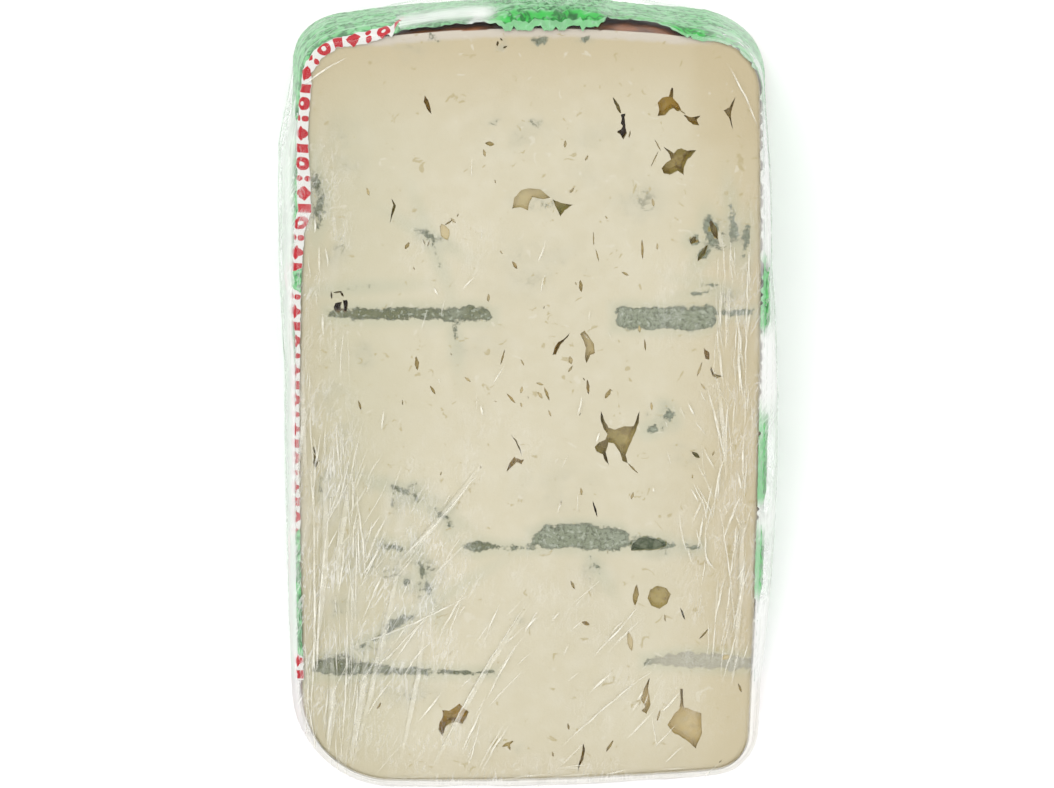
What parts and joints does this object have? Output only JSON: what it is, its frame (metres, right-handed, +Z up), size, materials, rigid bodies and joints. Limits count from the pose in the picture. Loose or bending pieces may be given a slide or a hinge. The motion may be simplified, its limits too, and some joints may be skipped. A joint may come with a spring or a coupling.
{
  "type": "wrapped gorgonzola wedge",
  "caption": "Wedge of blue-veined soft cheese, wrapped in printed foil and cling film, lying on a cut side.",
  "frame": {"origin": "centre of the bounding box's bottom, on the surface that the wedge lies on", "axes": "+Z up, the short way through the wedge; +Y from the blunt tip to the round rind at the back, the longest way; +X across, from the wheel's flat face to the cut that halved the wheel"},
  "size_m": [0.0956, 0.1523, 0.0478],
  "materials": {
    "cheese_paste": "creamy off-white blue cheese paste, moist and slightly waxy, with grey-green mould and a brown rind at the back",
    "printed_foil": "thin crumpled foil printed in green and white with plain red marks",
    "cling_film": "clear thin stretch film, glossy, with fine white creases"
  },
  "bodies": {
    "root": {"cheese": "cheese_paste", "foil": "printed_foil", "film": "cling_film"}
  },
  "joints": []
}
